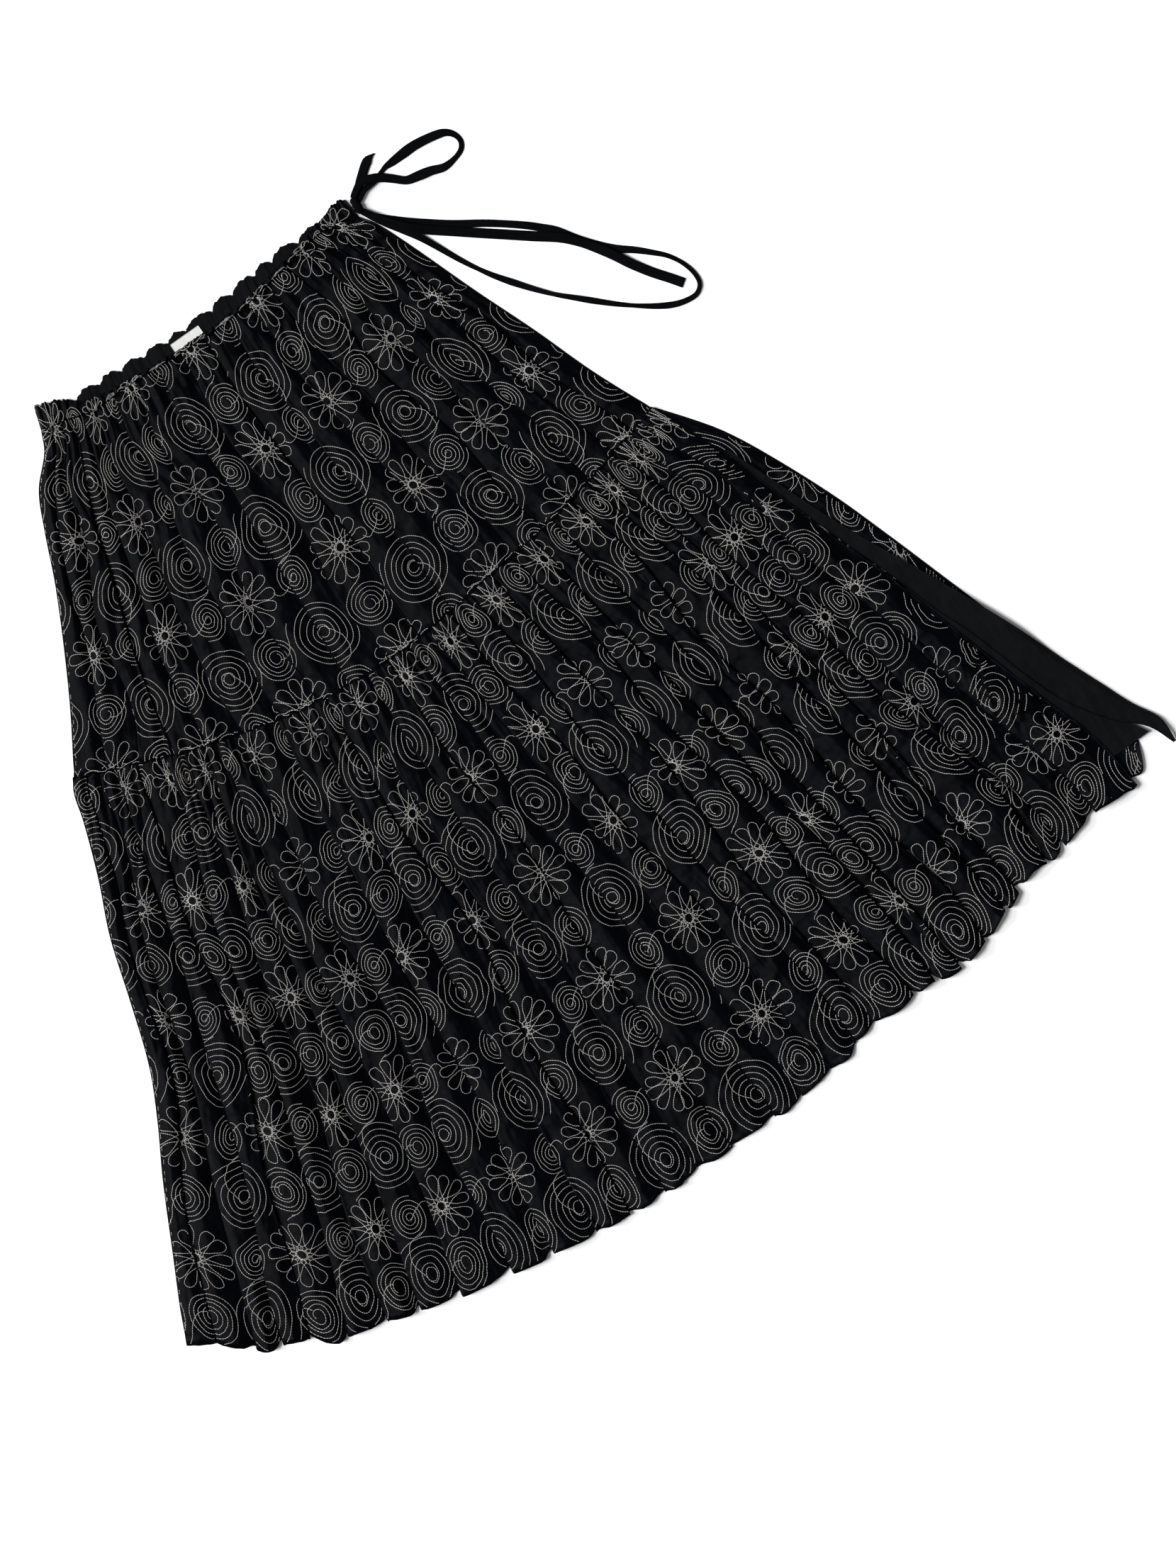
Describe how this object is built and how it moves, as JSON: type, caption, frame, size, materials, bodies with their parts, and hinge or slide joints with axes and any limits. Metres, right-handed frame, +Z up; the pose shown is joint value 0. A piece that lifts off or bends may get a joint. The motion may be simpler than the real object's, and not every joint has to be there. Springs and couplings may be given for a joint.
{
  "type": "tiered pleated skirt",
  "caption": "Long gathered skirt in tiers, crinkle pleated and embroidered with daisies and spirals, with a side slit and a drawstring bow at the waist, laid flat.",
  "frame": {"origin": "middle of the laid skirt's outline, on the surface it lies on, the drawstring's bow left out", "axes": "+X across the hem towards the slit, +Y up the skirt towards the waist, +Z up from the surface"},
  "size_m": [1.065, 0.9586, 0.0107],
  "materials": {
    "embroidered_cloth": "soft satin crinkle weave with cream running stitch embroidery",
    "plain_cloth": "matte plain weave",
    "tape_cloth": "matte folded tape",
    "label_cloth": "woven label, blank"
  },
  "bodies": {
    "root": {"skirt_front_upper": "embroidered_cloth", "skirt_front_lower": "embroidered_cloth", "skirt_back_upper": "embroidered_cloth", "skirt_back_lower": "embroidered_cloth", "skirt_side_lower": "embroidered_cloth", "waist_frill_front": "embroidered_cloth", "waist_frill_back": "plain_cloth", "slit_facing_front": "plain_cloth", "slit_facing_side": "plain_cloth", "label_blank": "label_cloth", "drawstring_knot": "tape_cloth", "drawstring_short_loop": "tape_cloth", "drawstring_short_end": "tape_cloth", "drawstring_long_loop": "tape_cloth", "drawstring_long_end": "tape_cloth"}
  },
  "joints": []
}
